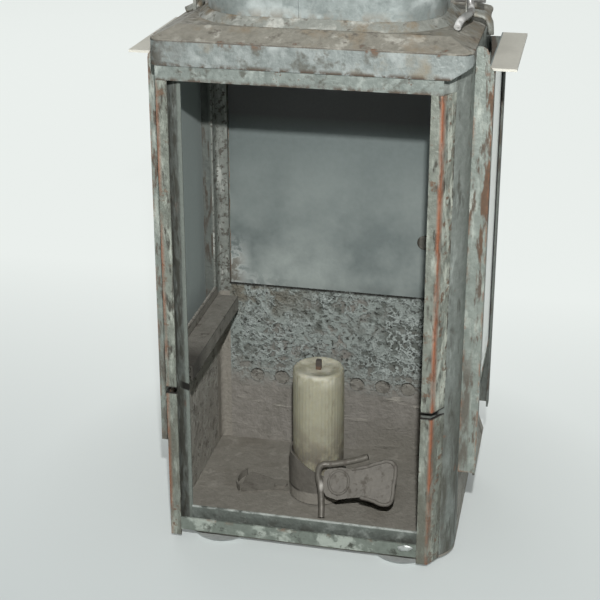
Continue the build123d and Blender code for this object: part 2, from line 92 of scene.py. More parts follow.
def weathered(name, tones, blotch_mm, stains, metallic, rough, relief):
    # Mottled ground tone under a list of stains; a stain is two colours, its masks and how high it stands.
    # Real grit and specks are finer than this, and are drawn coarser so that they show.
    speck_mm, grit_mm, relief_mm = 2.4, 1.3, 0.8
    streak_share, speck_share, grit_share = 0.5, 0.35, 0.35
    stained_rough, stained_metal = 0.85, 0.15
    material = bpy.data.materials.new(name)
    material.use_nodes = True
    tree = material.node_tree
    tree.nodes.clear()
    place = put(tree, "ShaderNodeTexCoord").outputs["Object"]
    ground = mask(tree, place, "spots", blotch_mm, 0.3, 0.7)
    streak = mask(tree, place, "runs", blotch_mm * 0.6, 0.3, 0.7)
    speck = mask(tree, place, "spots", speck_mm, 0.36, 0.64)
    tone = put(tree, "ShaderNodeMix", {0: streak_share, 2: ground, 3: streak}).outputs[0]
    tone = put(tree, "ShaderNodeMix", {0: speck_share, 2: tone, 3: speck}).outputs[0]
    colour = put(tree, "ShaderNodeMix", {
        0: tone, 6: linear(tones[0]), 7: linear(tones[1])}, data_type="RGBA").outputs[2]
    grit = put(tree, "ShaderNodeTexNoise", {
        "Vector": place, "Scale": 1000 / grit_mm, "Detail": 3.0}).outputs[0]
    height = put(tree, "ShaderNodeMath", {
        0: grit, 1: grit_share, 2: tone}, operation="MULTIPLY_ADD").outputs[0]
    covered = 0.0
    for shades, masks, rise in stains:
        cover = 1.0
        for item in masks:
            cover = put(tree, "ShaderNodeMath", {
                0: cover, 1: mask(tree, place, *item)}, operation="MULTIPLY").outputs[0]
        paint = put(tree, "ShaderNodeMix", {
            0: grit, 6: linear(shades[0]), 7: linear(shades[1])}, data_type="RGBA").outputs[2]
        colour = put(tree, "ShaderNodeMix", {0: cover, 6: colour, 7: paint}, data_type="RGBA").outputs[2]
        height = put(tree, "ShaderNodeMath", {
            0: cover, 1: rise, 2: height}, operation="MULTIPLY_ADD").outputs[0]
        covered = put(tree, "ShaderNodeMath", {0: covered, 1: cover}, operation="MAXIMUM").outputs[0]
    dull = put(tree, "ShaderNodeMapRange", {
        "Value": covered, "To Min": rough, "To Max": stained_rough}).outputs[0]
    bare = 0.0
    if metallic:
        bare = put(tree, "ShaderNodeMapRange", {
            "Value": covered, "To Min": metallic, "To Max": metallic * stained_metal}).outputs[0]
    bump = put(tree, "ShaderNodeBump", {
        "Height": height, "Strength": relief, "Distance": relief_mm / 1000}).outputs[0]
    shader = put(tree, "ShaderNodeBsdfPrincipled", {
        "Base Color": colour, "Roughness": dull, "Metallic": bare, "Normal": bump})
    put(tree, "ShaderNodeOutputMaterial", {"Surface": shader.outputs[0]})
    return material


def dress(material, *names):
    # Gives CAD nodes their material
    for name in names:
        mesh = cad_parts[name].data
        mesh.materials.clear()
        mesh.materials.append(material)


# Stained sheet iron: brown grey film, a little paler where wax and dust have dried
stained_iron = weathered("stained_sheet_iron", ("#7b786f", "#928e85"), 9, [
    (("#a5a298", "#97938a"), [("spots", 6, 0.56, 0.76)], 0.1),
    (("#6b675e", "#777268"), [("spots", 18, 0.54, 0.74)], -0.1),
], 0.1, 0.7, 0.5)
dress(stained_iron, "base_pan")

# Feet: four low pressed domes of pale metal fixed under the pan.
# They are cleaner than the rest, as nothing drips on them.
# Dull pressed aluminium: pale, soft shine, a few scuffs
pressed_foot = weathered("dull_pressed_aluminium", ("#b4b8b6", "#d2d6d3"), 6, [
    (("#8e9089", "#7f817a"), [("spots", 3, 0.6, 0.75)], -0.1),
], 0.4, 0.45, 0.2)
dress(pressed_foot, "feet")

# Front corner posts: galvanised sheet bent to wide round corners, soldered to pan and roof.
# The zinc has gone dull, with dark runs and a little rust at the bends.
break_low, break_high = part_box("lower_left_front_channel")[1].z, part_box("upper_left_front_channel")[0].z
break_middle = (break_low + break_high) / 2 * 1000
in_break = [("z", break_middle - 1.9, break_middle - 1.3), ("z", break_middle + 1.9, break_middle + 1.3)]
# Weathered galvanised sheet: mid grey with soft blotches and faint vertical runs, darker near the ground
weathered_zinc = weathered("weathered_galvanised_sheet", ("#666b66", "#8f958f"), 8, [
    (("#9aa19b", "#a7aea8"), [("runs", 4, 0.58, 0.75)], 0.05),
    (("#484a45", "#57584f"), [("runs", 3, 0.57, 0.70)], -0.05),
    (("#4b4b44", "#5d5e56"), [("z", 95.0, 40.0), ("runs", 5, 0.42, 0.60)], -0.05),
    (("#8a5f45", "#6f4d3a"), [("spots", 7, 0.60, 0.70), ("runs", 5, 0.45, 0.6)], 0.1),
    (("#46423a", "#574c40"), [("edge", 1.2), ("spots", 6, 0.42, 0.56)], 0.1),
    (("#45463f", "#55564e"), [("x", -50.0, -52.5), ("y", -38.6, -40.0), ("runs", 2.5, 0.44, 0.56)], -0.1),
    (("#757c75", "#828982"), [("x", -51.5, -50.9), ("x", -40.0, -45.0)], 0.0),
    # Painted shade: nearly black on the post at the break, where the gap between the channel lengths lies
    # in shade
    (("#161512", "#201e1a"), [*in_break, ("x", 52.5, 51.5), ("y", -43.0, -44.5)], 0.0),
], 0.35, 0.5, 0.35)
dress(weathered_zinc, "front_left_post", "front_right_post")

# Back corner posts: the same sheet with a tighter bend, joined to the back wall.
# Damp has left dark specks and a pale crust in the corner.
# Specked corner sheet: grey with fine dark specks and rough pale runs, brown like the floor low down
crusted_corner = weathered("specked_back_corner_sheet", ("#6a6e68", "#8f938c"), 5, [
    (("#a3a69f", "#b1b4ad"), [("runs", 3, 0.56, 0.66)], 0.2),
    (("#4d4b45", "#5d5a52"), [("spots", 2, 0.53, 0.61)], 0.1),
    (("#7b776e", "#98948a"), [("z", 79.0, 78.0)], 0.1),
], 0.15, 0.7, 0.7)
dress(crusted_corner, "back_left_post", "back_right_post")

# Lower back wall: galvanised sheet between the posts with a row of punched air holes.
# Above the holes the zinc has broken into pale flakes, below it is brown like the floor.
lace_low, lace_high = 31.0, 46.0
# Flaking zinc: a pale lace of crust over dark grey green, with dark specks painted among the flakes as
# their small shadows
flaking_zinc = weathered("flaking_zinc_on_iron", ("#75726a", "#95918a"), 8, [
    (("#555953", "#666b65"), [("z", lace_low + 5, lace_high + 4), ("spots", 16, 0.36, 0.50)], -0.2),
    (("#99a19c", "#858d88"), [
        ("z", lace_low, lace_high), ("worms", 9, 0.09, 0.03), ("spots", 22, 0.36, 0.48)], 0.7),
    (("#b4bcb8", "#9aa29d"), [
        ("z", lace_low, lace_high), ("worms", 5, 0.07, 0.02), ("spots", 14, 0.38, 0.54)], 0.9),
    (("#c0c8c4", "#a9b1ad"), [
        ("z", lace_low + 8, lace_high + 8), ("x", 10.0, -50.0), ("spots", 7, 0.50, 0.62),
        ("spots", 1.8, 0.40, 0.56)], 0.7),
    # Painted shade: fine dark specks among the flakes, standing in for the small shadows they throw
    (("#43453f", "#50524c"), [("z", lace_low + 4, lace_high), ("spots", 2.2, 0.60, 0.66)], -0.8),
    (("#a19d93", "#aca89e"), [("z", 44.0, 36.0), ("creases", 4, 0.60, 0.68)], 0.4),
    (("#706d61", "#7c796d"), [("z", 64.0, 76.0), ("x", -10.0, -32.0), ("spots", 8, 0.42, 0.54)], -0.3),
    (("#716e66", "#7d7a71"), [("z", 24.0, 12.0), ("x", -10.0, 20.0)], 0.0),
    (("#262622", "#32322d"), [("z", 81.6, 82.4), ("spots", 9, 0.30, 0.44)], 0.0),
], 0.1, 0.75, 0.9)
dress(flaking_zinc, "lower_back_wall")

# Lower side walls and vent hoods: galvanised sheet, with slanted sheets over the air holes outside.
# Smoke and wax have stained them like the floor.
# Stained wall sheet: brown grey with pale dried patches and a fine crust
stained_wall = weathered("stained_wall_sheet", ("#8a877e", "#a9a69d"), 8, [
    (("#b3b2aa", "#a3a198"), [("worms", 7, 0.06, 0.02), ("spots", 12, 0.44, 0.58)], 0.6),
    (("#6f6c64", "#7b776e"), [("spots", 6, 0.53, 0.66)], -0.2),
    (("#55514a", "#645f57"), [("spots", 2.5, 0.62, 0.68)], -0.4),
], 0.1, 0.75, 0.8)
dress(stained_wall, "lower_left_wall", "lower_right_wall", "right_vent_hood", "back_vent_hood")

# Inner rails: a strip folded to a shelf inside each lower side wall, with its lip turned down and rolled.
# Dust lies on the shelf and the roll throws a dark line on the wall below it.
def wire(name, points, thick_mm):
    # A round wire or roll through points in millimetres, smooth between them
    curve = bpy.data.curves.new(name, "CURVE")
    curve.dimensions = "3D"
    curve.bevel_depth = thick_mm / 2000
    curve.bevel_resolution = 5
    curve.resolution_u = 10
    curve.use_fill_caps = True
    line = curve.splines.new("BEZIER")
    line.bezier_points.add(len(points) - 1)
    for knot, point in zip(line.bezier_points, points):
        knot.co = Vector(point) / 1000
        knot.handle_left_type = "AUTO"
        knot.handle_right_type = "AUTO"
    path = bpy.data.objects.new(name, curve)
    bpy.context.collection.objects.link(path)
    bpy.context.view_layer.update()
    mesh = bpy.data.meshes.new_from_object(path.evaluated_get(bpy.context.evaluated_depsgraph_get()))
    bpy.data.objects.remove(path)
    mesh.polygons.foreach_set("use_smooth", [True] * len(mesh.polygons))
    piece = bpy.data.objects.new(name, mesh)
    bpy.context.collection.objects.link(piece)
    return piece


def fix(piece, material, body="lantern"):
    # Finishes a piece and lets it move with a body
    piece.data.materials.append(material)
    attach(piece, body)
    return piece


# Dusty folded sheet: brown grey, with a dark line painted along the fold as the shade in it, and painted
# shade towards the front end
dusty_fold = weathered("dusty_folded_sheet", ("#716e66", "#8f8c84"), 8, [
    (("#a09e95", "#aaa89f"), [("spots", 5, 0.57, 0.70)], 0.1),
    (("#56524b", "#645f57"), [("spots", 5, 0.55, 0.67)], -0.1),
    # Painted shade: a dark line along the edges, where the fold and its gap lie in shade
    (("#37342f", "#45413a"), [("edge", 0.7)], -0.2),
    # Painted shade: darker towards the front end, which lies in shade
    (("#3c3a35", "#4b4842"), [("y", -22.0, -36.0)], 0.0),
], 0.15, 0.65, 0.5)
dress(dusty_fold, "left_inner_rail", "right_inner_rail")
roll_d, roll_rise, front_short, back_short = 2.4, 1.3, 3, 1
for side in ("left", "right"):
    low, high = [corner * 1000 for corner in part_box(side + "_inner_rail")]
    edge_x = high.x - roll_d / 2 if side == "left" else low.x + roll_d / 2
    ends = [(edge_x, y, low.z + roll_rise) for y in (low.y + front_short, high.y - back_short)]
    fix(wire(side + "_rail_roll", ends, roll_d), dusty_fold)

# Front sill: a tinned rail along the bottom of the opening.
# It is bent from one strip and rubbed bright where hands reach in.
# Tinned sill: greenish grey with paler rubbed patches
rubbed_tin = weathered("rubbed_tinned_sill", ("#676e66", "#858d84"), 7, [
    (("#99a198", "#a6ada4"), [("spots", 9, 0.52, 0.60)], 0.1),
    (("#4d5149", "#41443d"), [("spots", 5, 0.57, 0.68)], -0.1),
    (("#6f5340", "#7d5c45"), [("z", 9.5, 11.2), ("spots", 6, 0.55, 0.68)], 0.1),
], 0.3, 0.45, 0.3)
dress(rubbed_tin, "front_sill")

# Solder blob: a lump of solder left on the right end of the sill, where the rail meets the post.
# It was dripped on and has stayed bright.
def shell(name, rows, smooth=True):
    # A closed skin over rows of points in millimetres, each row the same way round
    form = bmesh.new()
    rings = [[form.verts.new(Vector(point) / 1000) for point in row] for row in rows]
    count = len(rings[0])
    for ring, following in zip(rings, rings[1:]):
        for k in range(count):
            form.faces.new((ring[k], ring[(k + 1) % count], following[(k + 1) % count], following[k]))
    form.faces.new(rings[0])
    form.faces.new(rings[-1])
    bmesh.ops.recalc_face_normals(form, faces=form.faces)
    mesh = bpy.data.meshes.new(name)
    form.to_mesh(mesh)
    form.free()
    mesh.polygons.foreach_set("use_smooth", [smooth] * len(mesh.polygons))
    piece = bpy.data.objects.new(name, mesh)
    bpy.context.collection.objects.link(piece)
    return piece


# Bright solder: smooth pale grey with small dark pits
bright_solder = weathered("bright_solder", ("#a9aeaa", "#c3c7c3"), 3, [
    (("#6f736d", "#7d817b"), [("spots", 1.5, 0.60, 0.70)], -0.3),
], 0.5, 0.35, 0.3)
sill_low, sill_high = [corner * 1000 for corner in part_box("front_sill")]
blob_at = Vector((41.0, sill_low.y + 0.2, sill_high.z - 1.8))
blob_half_w, blob_half_h, blob_turns = 3.0, 1.7, 18
rows = []
for share, rise in ((1.0, 0.0), (0.86, 0.45), (0.55, 0.72), (0.2, 0.82)):
    row = []
    for k in range(blob_turns):
        angle = 2 * math.pi * k / blob_turns
        lump = share * (1 + 0.16 * math.sin(2 * angle + 0.6) + 0.09 * math.sin(5 * angle))
        row.append((blob_at.x + blob_half_w * lump * math.cos(angle), blob_at.y - rise,
                    blob_at.z + blob_half_h * lump * math.sin(angle)))
    rows.append(row)
fix(shell("sill_solder_blob", rows), bright_solder)

# Sill lip: a taller strip behind the sill that once held the pane upright.
# The groove in front of it is full of dirt, and its worn top edge is painted pale as a highlight.
# Dirty strip: dark grey with black grime, with a painted highlight along the worn top edge
dirty_lip = weathered("dirty_pane_lip", ("#565b55", "#777e78"), 6, [
    (("#35352f", "#43423b"), [("spots", 7, 0.48, 0.62), ("z", 14.5, 8.0)], 0.3),
    (("#808680", "#8c928c"), [("spots", 6, 0.56, 0.70)], 0.1),
    # Painted highlight: a pale band along the top edge of the lip
    (("#b0b6b0", "#bdc2bc"), [("z", 14.2, 14.9), ("spots", 6, 0.36, 0.50)], 0.0),
], 0.25, 0.6, 0.5)
dress(dirty_lip, "sill_lip")

# Front channels: tinned strips folded to a lip and a web, soldered on the corner posts.
# Each is in two lengths with a gap between, and the fold between lip and web has rusted.
fold_left, fold_right = -58.0, 50.0
# Tinned strip with rusted fold: strongly mottled, orange brown along the bend, grimy in the low lengths
rusted_strip = weathered("tinned_strip_with_rusted_fold", ("#6b6f66", "#8d9288"), 6, [
    (("#9ba196", "#a8ada2"), [("runs", 3.5, 0.52, 0.66)], 0.15),
    (("#504f47", "#42413a"), [("runs", 2.2, 0.55, 0.65)], -0.2),
    (("#725d4c", "#645242"), [("spots", 4, 0.58, 0.68)], 0.2),
    (("#5b5c52", "#6d6e64"), [("z", 80.0, 60.0), ("runs", 5, 0.44, 0.58)], -0.05),
    (("#a9aea2", "#b7bbaf"), [("x", 50.6, 51.6), ("z", 66.0, 74.0), ("runs", 3, 0.46, 0.58)], 0.3),
    (("#7a6452", "#655244"), [("x", 50.6, 51.6), ("spots", 3.5, 0.56, 0.66)], 0.3),
    (("#8f5d40", "#7a5340"), [("nearx", fold_left, 1.6), ("runs", 6, 0.42, 0.56)], 0.4),
    (("#a5623f", "#8a563d"), [("nearx", fold_right, 1.3), ("runs", 6, 0.38, 0.54)], 0.4),
    (("#3f3b34", "#4c463d"), [("edge", 0.6), ("spots", 4, 0.46, 0.58)], -0.1),
    # Painted shade: the channel ends at the break are nearly black, standing in for the shade in the gap
    (("#1d1b18", "#2a2520"), in_break, -0.1),
], 0.25, 0.5, 0.6)
for level in ("upper_", "lower_"):
    dress(rusted_strip, level + "left_front_channel", level + "right_front_channel")

# Head band and window heads: strips that close the walls under the roof.
# They are the same tinned sheet, a little smoother above the opening.
# Tinned head strip: grey with pale wiped patches and many small dark specks
tinned_head = weathered("tinned_head_strip", ("#6c736e", "#929a94"), 8, [
    (("#989f99", "#a6ada7"), [("spots", 6, 0.53, 0.68)], 0.05),
    (("#54564f", "#63655d"), [("spots", 5, 0.54, 0.66)], -0.1),
    (("#5a4a3f", "#6b5545"), [("spots", 3, 0.64, 0.70)], 0.1),
    (("#4a4741", "#5c4d40"), [("z", 201.0, 199.4), ("spots", 5, 0.42, 0.54)], 0.1),
], 0.3, 0.5, 0.4)
dress(tinned_head, "head_band", "left_window_head", "right_window_head", "back_window_head")

# Roof plate: a shallow hipped sheet soldered over posts and skirt, open under the collar.
# Brown grey dust lies on it, with rust dashes on the front fold.
# Dusty sheet: dull, warm grey, with darker smears and browner patches towards the corners
dusty_roof = weathered("dusty_galvanised_roof", ("#79766c", "#9b988d"), 9, [
    (("#aba99f", "#b3b1a7"), [("spots", 8, 0.54, 0.66)], 0.05),
    (("#7f7361", "#8c806c"), [("spots", 14, 0.52, 0.68)], 0.1),
    (("#5b574f", "#6a655c"), [("spots", 6, 0.55, 0.67)], -0.1),
    (("#7b5a45", "#6d5342"), [("z", 216.2, 215.0), ("spots", 6, 0.60, 0.66)], 0.2),
    (("#55514a", "#625d55"), [("z", 215.2, 214.4), ("spots", 7, 0.40, 0.54)], 0.1),
], 0.15, 0.65, 0.5)
dress(dusty_roof, "roof_plate")

# Front skirt: the edge of the roof sheet turned down in front with mitred ends.
# It is paler than the roof, wiped by hands, with faint runs.
# Wiped zinc: cool grey with soft pale patches, brown dust and a dirty lower edge
wiped_skirt = weathered("wiped_galvanised_skirt", ("#727976", "#989f9c"), 9, [
    (("#999f9d", "#a6aca9"), [("spots", 10, 0.50, 0.68)], 0.05),
    (("#7f7a6c", "#8b8678"), [("spots", 16, 0.53, 0.66)], 0.05),
    (("#5a5c56", "#696a63"), [("spots", 6, 0.54, 0.66)], -0.1),
    (("#4c4b45", "#5d5b53"), [("x", -44.0, -58.0), ("spots", 5, 0.38, 0.54)], -0.05),
    (("#75604f", "#6b5646"), [("z", 212.0, 214.2), ("spots", 6, 0.58, 0.65)], 0.1),
    (("#454139", "#59493c"), [("z", 206.8, 205.3), ("spots", 4, 0.40, 0.52)], 0.1),
], 0.3, 0.5, 0.45)
dress(wiped_skirt, "front_skirt")

# Collar and cap: bright zinc sheet, lapped and soldered, standing on the roof.
# The collar is the brightest sheet of the body and shines where it is curved.
# Bright zinc: pale blue grey with a soft mirror shine, cloudy, with brown dust at its foot
bright_collar = weathered("bright_galvanised_collar", ("#848d8a", "#aeb6b4"), 12, [
    (("#b3bbb9", "#c0c7c5"), [("spots", 14, 0.50, 0.74)], 0.0),
    (("#747c7a", "#808886"), [("spots", 8, 0.55, 0.68)], 0.0),
    (("#7a7265", "#8b8375"), [("z", 226.0, 220.5), ("spots", 6, 0.44, 0.58)], 0.1),
], 0.55, 0.45, 0.15)
dress(bright_collar, "collar", "cap")

# Collar flange and bail ears: flat sheet soldered on the roof round the collar, and two punched lugs.
# Dust has gathered on them as on the roof.
# Dusty zinc: pale grey with brown patches that run over from the roof
dusty_flange = weathered("dusty_collar_flange", ("#7e8079", "#a0a39c"), 8, [
    (("#b0b1aa", "#bbbcb5"), [("spots", 7, 0.52, 0.66)], 0.05),
    (("#847966", "#766c5b"), [("spots", 9, 0.50, 0.64)], 0.1),
    (("#5c5850", "#6a655c"), [("spots", 4, 0.58, 0.68)], -0.1),
], 0.25, 0.55, 0.35)
dress(dusty_flange, "collar_flange", "left_bail_ear", "right_bail_ear")

# Ear straps: tongues of thick sheet with rounded ends, soldered down beside each lug.
# The right one runs over the eave and hangs down outside, the left one ends on the roof.
def strap_over_eave(name, hand, middle_y, path, half_width, thick):
    # A strap of even thickness along a path in X and Z, with a rounded end
    turns, rows = 12, []
    last = len(path) - 1
    for i, (x, z) in enumerate(path):
        before, after = Vector(path[max(i - 1, 0)]), Vector(path[min(i + 1, last)])
        along = (after - before).normalized()
        normal = Vector((-along.y, along.x))
        to_end = min((last - i) / 2, 1)
        width = half_width * math.sqrt(max(1 - (1 - to_end) ** 2, 0.05))
        row = []
        for turn in range(turns):
            angle = 2 * math.pi * turn / turns
            out = normal * (thick / 2 * math.sin(angle))
            row.append((hand * (x + out.x), middle_y + width * math.cos(angle), z + out.y))
        rows.append(row)
    return shell(name, rows)


ear_low, ear_high = [corner * 1000 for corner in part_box("right_bail_ear")]
ear_y = (ear_low.y + ear_high.y) / 2
strap_half_width, strap_thick = 4.6, 2.6
short_path = [(52.0, 219.6), (54.5, 218.6), (56.2, 217.8), (57.5, 217.2), (58.6, 216.7)]
long_path = [(54.5, 220.4), (57.0, 220.4), (59.4, 220.0), (61.0, 218.8), (61.9, 216.8), (62.2, 214.6),
             (62.3, 212.4)]
for hand, side, path in ((-1, "left", short_path), (1, "right", long_path)):
    strap = strap_over_eave(side + "_ear_strap", hand, ear_y, path, strap_half_width, strap_thick)
    fix(strap, dusty_flange)

# Bail: one length of drawn steel wire with its ends hooked through the ears.
# It is dull, and brown where it turns in the holes.
# Drawn wire: grey with a soft shine, a few brown stains and a painted highlight at the front end of the
# tail
drawn_wire = weathered("dull_drawn_steel_wire", ("#6f6f6d", "#9c9b98"), 5, [
    (("#6a5545", "#7d6654"), [("z", 236.0, 224.0), ("spots", 3, 0.56, 0.66)], 0.1),
    (("#b1b1ae", "#bebebb"), [("spots", 4, 0.58, 0.70)], 0.0),
    # Painted highlight: the front end of the tail is pale where a shine falls on it
    (("#c6c6c3", "#d9d9d6"), [("y", -26.5, -30.5), ("spots", 3, 0.30, 0.50)], 0.0),
], 0.45, 0.38, 0.2)
dress(drawn_wire, "bail")

# Ear tail: the end of the wire that ties the right lug down, bent forward over the roof.
# It is the same drawn wire as the bail and is soldered at the lug.
tail_path = [(52.2, -32.5, 220.4), (52.8, -30.0, 222.0), (54.2, -24.0, 222.8), (55.2, -18.0, 222.8),
             (55.2, -14.0, 223.4), (54.7, -12.2, 226.0), (54.0, -11.9, 230.0)]
tail_d = 2.8
fix(wire("right_ear_tail", tail_path, tail_d), drawn_wire)

# Shutter channels and ledges: sheet gutters soldered on the posts of three sides.
# A small angle across each pair stops the shutter, and both are rusty along the folds.
# Rusted gutter: pale strip with brown patches where the zinc is gone
rusted_gutter = weathered("rusted_shutter_gutter", ("#747b74", "#9aa29a"), 6, [
    (("#a7aea5", "#b4bab1"), [("runs", 4, 0.52, 0.66)], 0.1),
    (("#565049", "#675b4e"), [("runs", 3, 0.55, 0.63)], 0.3),
    (("#54453a", "#6f5845"), [("x", 63.0, 64.0), ("z", 90.0, 120.0), ("runs", 5, 0.48, 0.53)], 0.3),
    (("#5a5850", "#6b685f"), [("x", 63.6, 62.6), ("z", 100.0, 80.0), ("runs", 4, 0.40, 0.54)], 0.2),
    (("#77543e", "#8a5f45"), [("edge", 1.6), ("spots", 6, 0.46, 0.58)], 0.2),
], 0.25, 0.55, 0.5)
for side in ("left", "right"):
    dress(rusted_gutter, side + "_shutter_front_channel", side + "_shutter_ledge")
dress(rusted_gutter, "back_shutter_left_channel", "back_shutter_right_channel", "back_shutter_ledge")
# The web of each front gutter runs on above its lip as a narrow tongue, soldered under the eave
gutter_low, gutter_high = [corner * 1000 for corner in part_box("right_shutter_front_channel")]
web_y, web_thick, gutter_top = gutter_low.y, 0.8, gutter_high.z
tongue = [(59.6, gutter_top), (66.4, gutter_top), (66.3, 204.6), (65.0, 206.2), (64.6, 208.0),
          (64.4, 211.0), (63.6, 212.8), (62.0, 213.8), (59.6, 213.8)]
for hand, side in ((-1, "left"), (1, "right")):
    faces = [[(hand * x, y, z) for x, z in tongue] for y in (web_y, web_y + web_thick)]
    fix(shell(side + "_channel_tongue", faces, smooth=False), rusted_gutter)
# Shaded gutter: the back channels, painted darker and browner as the shade inside the lantern
shade_painted_gutter = weathered("shade_painted_shutter_gutter", ("#595e5a", "#70756f"), 6, [
    (("#8f958f", "#9ca29b"), [("runs", 3, 0.60, 0.70)], 0.1),
    (("#46423b", "#544d44"), [("runs", 3, 0.52, 0.62)], 0.2),
], 0.2, 0.65, 0.5)
dress(shade_painted_gutter, "left_shutter_back_channel", "right_shutter_back_channel")

# Side shutters: bright smooth sheets that slide up in the channels, each with a bent pull tab.
# They are newer than the body, plain and even, with a little white bloom near the foot.
painted_shade_from, tab_low, tab_high = 64.8, 203.0, 204.4
# Bright sheet: pale and even outside, with a soft shine; the face towards the flame is painted blue grey as
# the shade and dark reflection of the inside
smooth_shutter = weathered("smooth_bright_sheet", ("#dbdedb", "#e6e8e5"), 40, [
    # Painted reflection: the tabs' tops above the fold are greyer and warmer, standing in for the dimmer
    # light they reflect
    (("#d2d0c5", "#dedcd1"), [("z", tab_low, tab_high), ("spots", 60, 0.1, 0.2)], 0.0),
    (("#cac8bd", "#d1cfc4"), [("z", tab_low, tab_high), ("spots", 30, 0.5, 0.7)], 0.0),
    (("#dde1dd", "#cdd1cd"), [("z", 84.0, 72.0), ("spots", 5, 0.50, 0.62)], 0.1),
    # Painted shade: the inner faces are blue grey, standing in for the dark inside that they reflect
    (("#949e9b", "#9ca5a2"), [
        ("x", -painted_shade_from, 0.1 - painted_shade_from), ("x", painted_shade_from, painted_shade_from - 0.1)], 0.0),
], 0.8, 0.34, 0.06)
dress(smooth_shutter, "left_shutter", "right_shutter")

# Back shutter: the same sheet, greyed by smoke, since the flame stands in front of it, and painted darker
# across the top as the shade of the roof.
# White bloom has started at its lower left corner.
# Greyed sheet: blue grey, darker towards the top and painted darker still as shade across the top, with
# cloudy patches and a pale rim round the crust
grey_shutter = weathered("smooth_grey_sheet", ("#707977", "#7b8482"), 40, [
    (("#9ca49f", "#929a96"), [("z", 150.0, 95.0), ("spots", 40, 0.38, 0.62)], 0.0),
    # Painted shadow: the top is darker where the roof's shadow falls on the sheet
    (("#626262", "#6a6a69"), [("z", 155.0, 162.0)], 0.0),
    (("#c3c9c5", "#b0b6b2"), [("z", 106.0, 92.0), ("x", -44.5, -51.0), ("spots", 7, 0.40, 0.48)], 0.3),
    (("#7e7c73", "#6b685f"), [("z", 104.0, 90.0), ("x", -47.0, -52.0), ("spots", 7, 0.46, 0.54)], 0.5),
    (("#b5bbb7", "#a3a9a5"), [("z", 88.0, 82.0), ("x", -24.0, -44.0), ("spots", 4, 0.46, 0.58)], 0.2),
    (("#c3c7c2", "#d2d5d1"), [("y", 40.85, 40.95)], 0.0),
], 0.25, 0.45, 0.06)
dress(grey_shutter, "back_shutter")

# Shutter dimple: a shallow round dent pressed into the back shutter, near its right edge.
# Dirt has gathered in it, and it is darker along its left side.
dimple_at, dimple_r = Vector((34.3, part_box("back_shutter")[0].y * 1000, 107.2)), 3.4
# Dirty dimple: brown grey with a dark crescent along one side of the rim
dirty_dimple = weathered("dirty_pressed_dimple", ("#605f57", "#73716a"), 4, [
    (("#37342d", "#433f37"), [("x", dimple_at.x - dimple_r * 0.5, dimple_at.x - dimple_r * 0.8)], 0.0),
], 0.1, 0.7, 0.4)
dimple_turns, rows = 32, []
for share, rise in ((1.0, 0.0), (0.93, 0.35), (0.82, 0.5), (0.6, 0.3), (0.3, 0.15), (0.06, 0.12)):
    angles = [2 * math.pi * k / dimple_turns for k in range(dimple_turns)]
    rows.append([(dimple_at.x + dimple_r * share * math.cos(angle), dimple_at.y - rise,
                  dimple_at.z + dimple_r * share * math.sin(angle)) for angle in angles])
fix(shell("back_shutter_dimple", rows, smooth=False), dirty_dimple, "back_shutter")

# Candle holder: a cross strip riveted to the floor, a socket with a slanted rim and a low curved fence.
# All of it has the floor's brown film, so it hardly stands out from it.
# Filmed sheet: the floor's brown grey, dark along the edges, partly dirt and partly painted contact shadow
holder_film = weathered("filmed_holder_sheet", ("#6f6c64", "#87837a"), 8, [
    (("#59554d", "#645f57"), [("spots", 8, 0.55, 0.70)], -0.1),
    # Dirt and painted contact shadow: dark along the edges
    (("#4b4740", "#57524a"), [("edge", 0.5), ("spots", 5, 0.44, 0.58)], -0.1),
], 0.1, 0.65, 0.5)
dress(holder_film, "holder_strip", "holder_rivets", "floor_clip")
film_and_shade_line = 9.6
# Filmed socket: darker than the floor above a dark line painted on its left as the shadow at its base, and
# lost in the floor's film below it
socket_film = weathered("filmed_socket_sheet", ("#5f5c55", "#77736b"), 8, [
    (("#7d7970", "#908c83"), [("z", film_and_shade_line + 0.4, film_and_shade_line - 0.2)], 0.0),
    # Painted shadow: a dark line round the left of the socket's base
    (("#2f2c27", "#3b3731"), [("nearz", film_and_shade_line, 0.9), ("x", -8.0, -11.0)], -0.2),
], 0.1, 0.65, 0.5)
dress(socket_film, "socket_tube")

# Front rod: a bent steel rod that rises from the floor and steadies the socket from the front.
# Its arm turns to the right and carries the thumb leaf, and a glint is painted on the upright.
# Rod: brown film with a bright glint painted on the upright
rod_with_painted_glint = weathered("filmed_steel_rod_with_painted_glint", ("#5f5c54", "#757169"), 5, [
    (("#4d473f", "#57514a"), [("spots", 4, 0.52, 0.64)], 0.1),
    # Painted highlight: a bright glint on the right side of the upright
    (("#c3c0b8", "#d0cdc5"), [("nearz", 17.5, 2.6), ("x", -0.4, 0.9)], 0.0),
], 0.25, 0.45, 0.2)
rod_d = 2.8
rod_path = [(2.0, -28.0, 5.0), (1.6, -25.6, 9.5), (0.5, -22.6, 16.0), (-0.9, -20.6, 22.0),
            (0.2, -19.6, 25.0), (4.5, -18.9, 25.8), (13.0, -18.0, 27.8), (20.0, -17.0, 30.2)]
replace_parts(fix(wire("front_rod", rod_path, rod_d), rod_with_painted_glint), "front_strap")

# Thumb leaf: a small tilted plate with a rolled rim and a raised ring, fixed beside the rod.
# It is pressed from sheet and turns the socket with the thumb.
leaf_middle = Vector((8.0, -20.2, 18.0))
leaf_up = Vector((0.0, 0.64, 0.77))
leaf_out = Vector((0.0, -0.77, 0.64))
leaf_thick = 0.9


def on_leaf(u, v, w):
    # A point on the leaf: u to the right, v up the slope and w out from its face
    return leaf_middle + Vector((u, 0, 0)) + leaf_up * v + leaf_out * w


